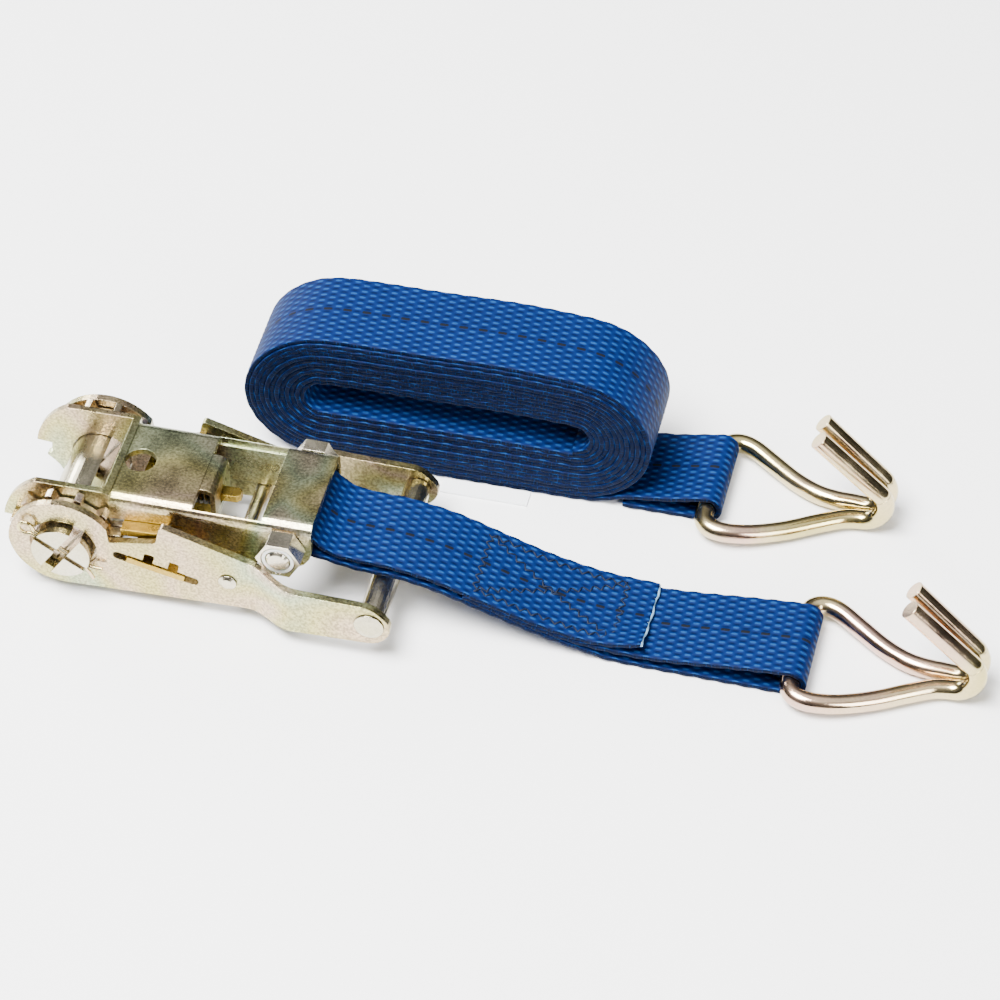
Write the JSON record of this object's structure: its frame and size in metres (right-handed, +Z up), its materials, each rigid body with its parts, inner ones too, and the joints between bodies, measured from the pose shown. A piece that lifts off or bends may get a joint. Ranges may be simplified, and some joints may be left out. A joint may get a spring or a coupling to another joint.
{
  "type": "ratchet tie down",
  "caption": "Pressed-steel webbing ratchet with a short sewn strap and double-J hook, and a long strap wound into a flat roll with a second hook.",
  "frame": {"origin": "middle of the whole object's footprint, on the surface it lies on", "axes": "+X along the ratchet from the spindle towards the hooks, +Y along the spindle towards the rolled strap, +Z up; the ratchet lies on its handle with the frame's web uppermost"},
  "size_m": [0.2492, 0.0958, 0.0435],
  "materials": {
    "pressed_zinc": "yellow zinc passivated pressed steel, satin",
    "wheel_zinc": "yellow zinc passivated stamped steel",
    "pawl_zinc": "deep yellow zinc passivated steel",
    "wire_zinc": "bright zinc passivated wire",
    "fastener_steel": "zinc plated fastener steel",
    "spring_steel": "drawn spring steel",
    "nylon": "moulded nylon ring",
    "webbing": "woven polyester webbing",
    "label": "blank woven label"
  },
  "bodies": {
    "base": {"base_frame": "pressed_zinc", "anchor_bolt": "fastener_steel", "lock_nut": "fastener_steel", "nut_insert": "nylon", "lock_pawl_spring": "spring_steel"},
    "handle": {"handle_plate_near": "pressed_zinc", "handle_plate_far": "pressed_zinc", "handle_crossbar": "fastener_steel", "handle_cross_pin": "fastener_steel", "drive_pawl_spring": "spring_steel"},
    "spindle": {"spindle_half_lower": "fastener_steel", "spindle_half_upper": "fastener_steel", "ratchet_wheel_near": "wheel_zinc", "ratchet_wheel_far": "wheel_zinc", "cotter_pin_near": "fastener_steel", "cotter_pin_far": "fastener_steel"},
    "lock_pawl": {"lock_pawl": "pawl_zinc"},
    "drive_pawl": {"drive_pawl": "pawl_zinc"},
    "short_strap": {"short_strap": "webbing"},
    "short_hook": {"short_hook": "wire_zinc"},
    "long_strap": {"long_strap": "webbing", "strap_label": "label"},
    "long_hook": {"long_hook": "wire_zinc"}
  },
  "joints": [
    {"name": "handle_swing", "type": "hinge", "parent": "base", "child": "handle", "pos_m": [-0.1073, -0.0209, 0.0153], "axis": [0, 1, 0], "range_deg": [0, 180]},
    {"name": "spindle_spin", "type": "hinge", "parent": "base", "child": "spindle", "pos_m": [-0.1073, -0.0209, 0.0153], "axis": [0, 1, 0], "continuous": true},
    {"name": "lock_pawl_slide", "type": "slide", "parent": "base", "child": "lock_pawl", "axis": [0.9979, 0, 0.0645], "range_m": [-0.0034, 0.0034], "stiffness_N_per_m": 600, "deforming": ["lock_pawl_spring"]},
    {"name": "drive_pawl_slide", "type": "slide", "parent": "handle", "child": "drive_pawl", "axis": [0.972, 0, -0.2351], "range_m": [-0.003, 0.003], "stiffness_N_per_m": 600, "deforming": ["drive_pawl_spring"]},
    {"name": "short_strap_swing", "type": "hinge", "parent": "base", "child": "short_strap", "pos_m": [-0.0515, -0.0209, 0.0228], "axis": [0, -1, 0], "range_deg": [0, 12]},
    {"name": "short_hook_swing", "type": "hinge", "parent": "short_strap", "child": "short_hook", "pos_m": [0.0772, -0.02335, 0.0042], "axis": [0, -1, 0], "range_deg": [-90, 110]},
    {"name": "long_strap_lift", "type": "slide", "parent": "base", "child": "long_strap", "axis": [0, 0, 1], "range_m": [0, 0.12]},
    {"name": "long_hook_swing", "type": "hinge", "parent": "long_strap", "child": "long_hook", "pos_m": [0.0451, 0.0291, 0.0042], "axis": [0, -1, 0], "range_deg": [-90, 60]}
  ]
}
